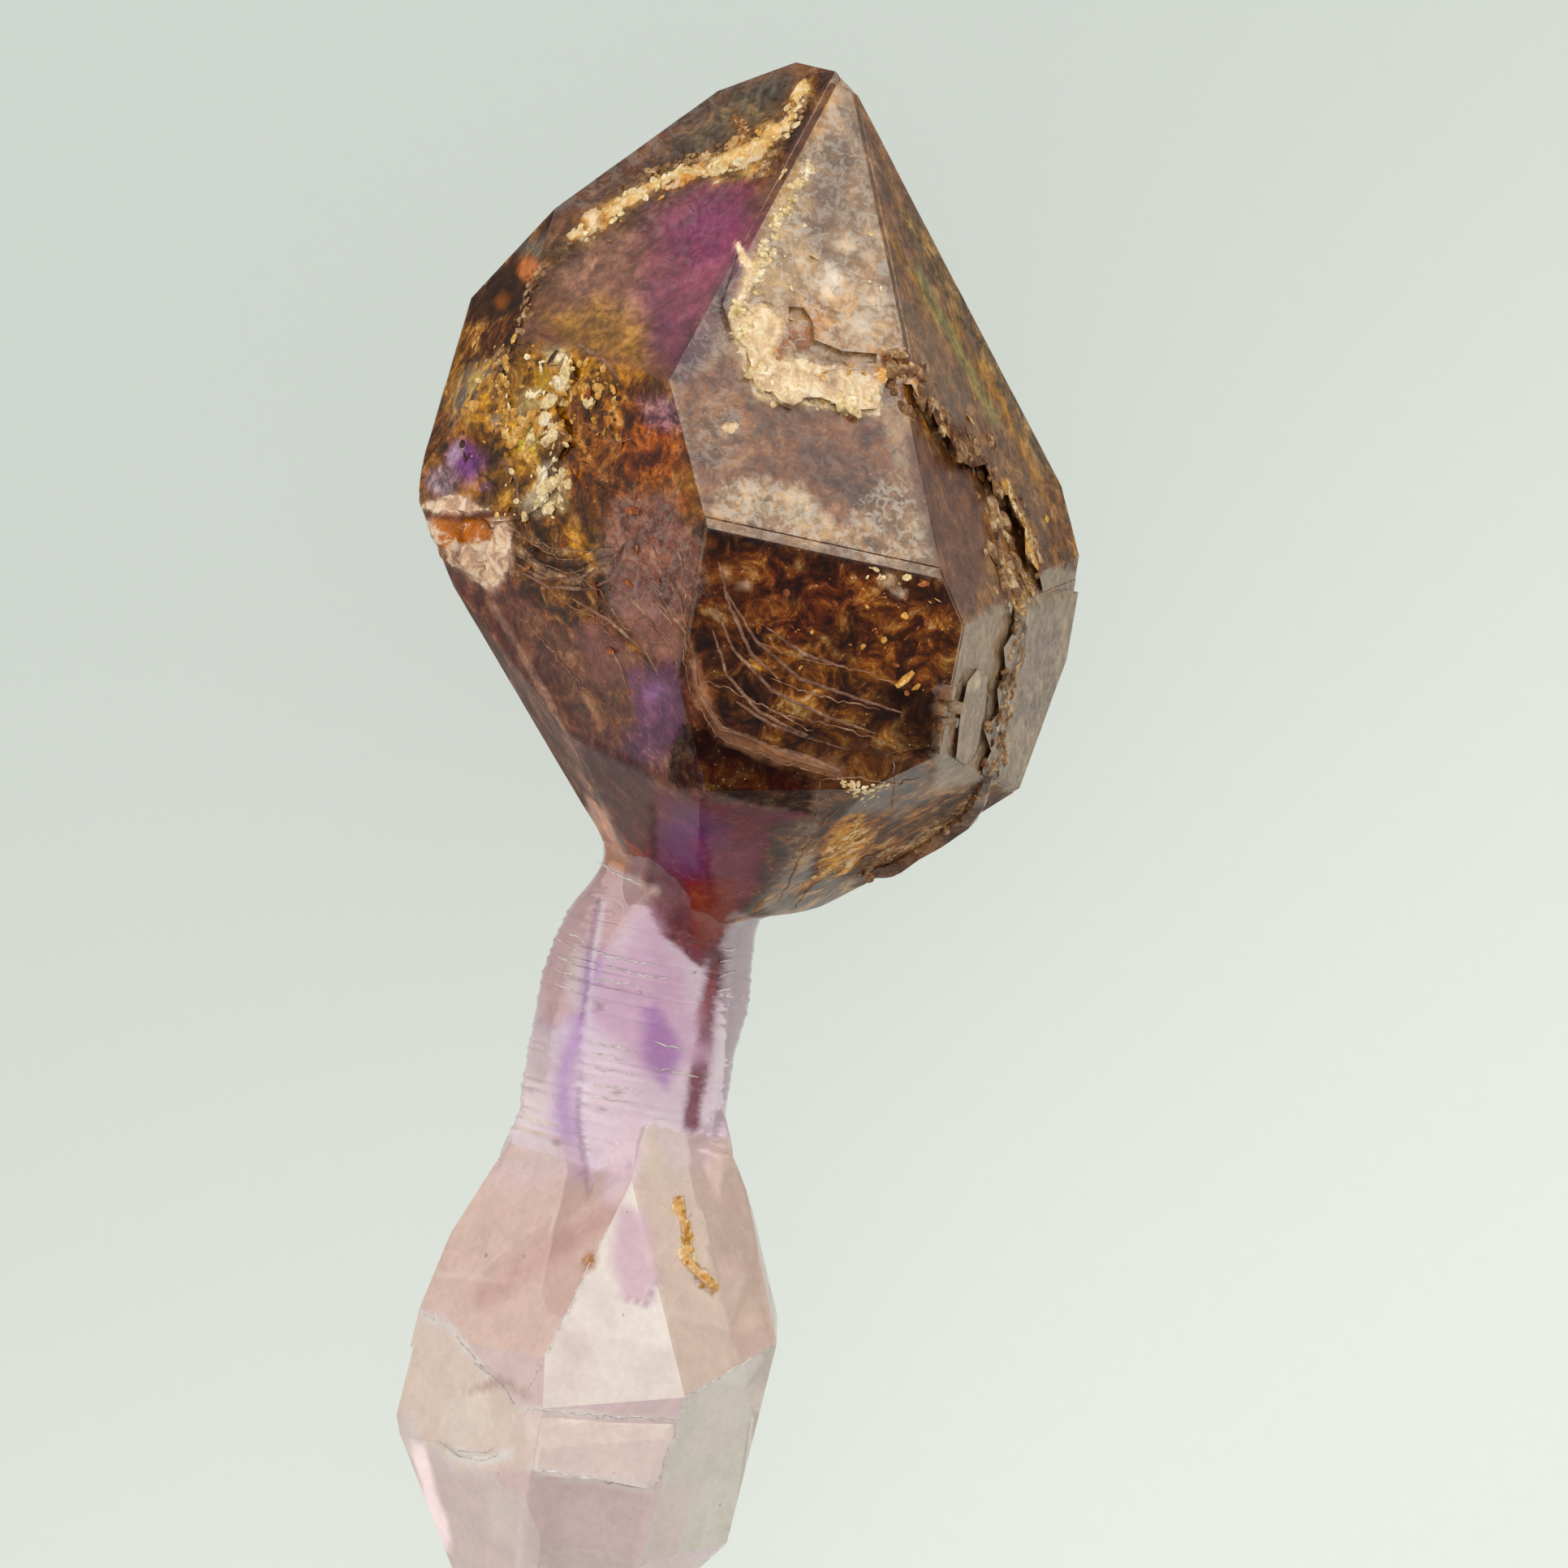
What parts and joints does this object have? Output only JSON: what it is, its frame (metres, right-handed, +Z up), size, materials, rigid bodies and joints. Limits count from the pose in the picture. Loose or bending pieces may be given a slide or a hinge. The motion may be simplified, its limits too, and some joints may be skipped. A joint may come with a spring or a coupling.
{
  "type": "amethyst scepter crystal",
  "caption": "Natural quartz scepter: a thick smoky-violet pointed head grown on a slender ribbed stem with a stout tapering foot, lying on its back.",
  "frame": {"origin": "bottom centre of the bounding box, on the surface the crystal lies on", "axes": "+Y along the crystal toward the head's tip, +Z up from the surface, +X to the right as seen in the picture"},
  "size_m": [0.0276, 0.07, 0.0275],
  "materials": {
    "amethyst": "smoky violet see-through quartz with golden and brown inclusions"
  },
  "bodies": {
    "root": {"scepter_crystal": "amethyst"}
  },
  "joints": []
}
